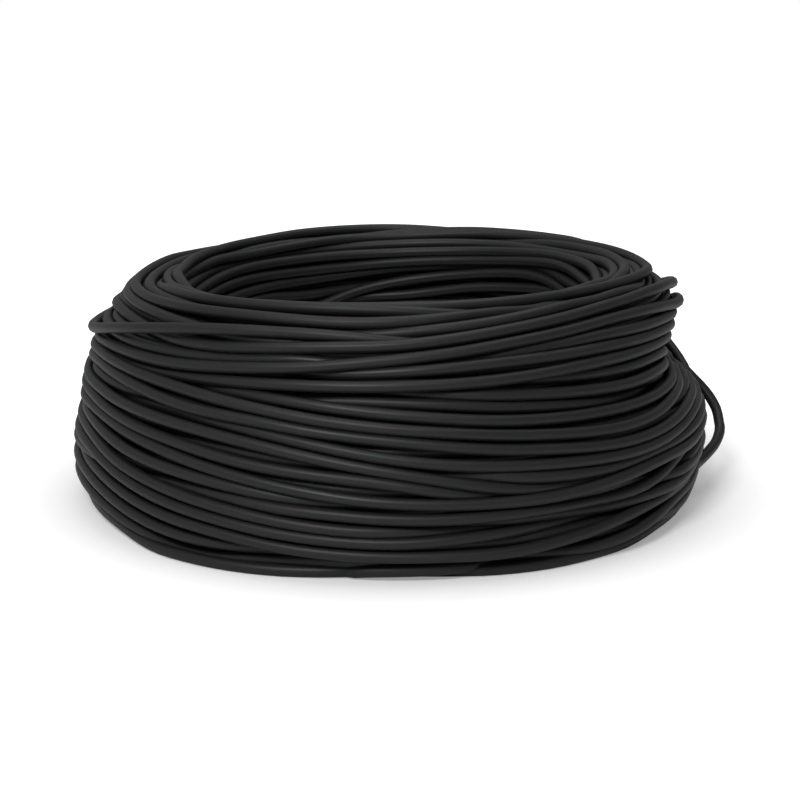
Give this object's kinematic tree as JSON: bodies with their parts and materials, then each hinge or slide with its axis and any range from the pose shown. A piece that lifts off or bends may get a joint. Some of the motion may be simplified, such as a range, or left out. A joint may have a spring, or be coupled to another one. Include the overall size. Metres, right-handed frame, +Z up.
{
  "type": "coil of network cable",
  "caption": "Loose round coil of black network cable lying flat, wound in crossing turns with an open bore and one slack loop on its side.",
  "frame": {"origin": "on the floor, under the middle of the coil's outline with its slack loop", "axes": "+Z up along the coil's axis, +X towards the slack loop, -Y towards the viewer of the picture"},
  "size_m": [0.3216, 0.312, 0.112],
  "materials": {
    "cable_sheath": "smooth matt black jacket with a slight sheen"
  },
  "bodies": {
    "root": {"cable_coil": "cable_sheath"}
  },
  "joints": []
}
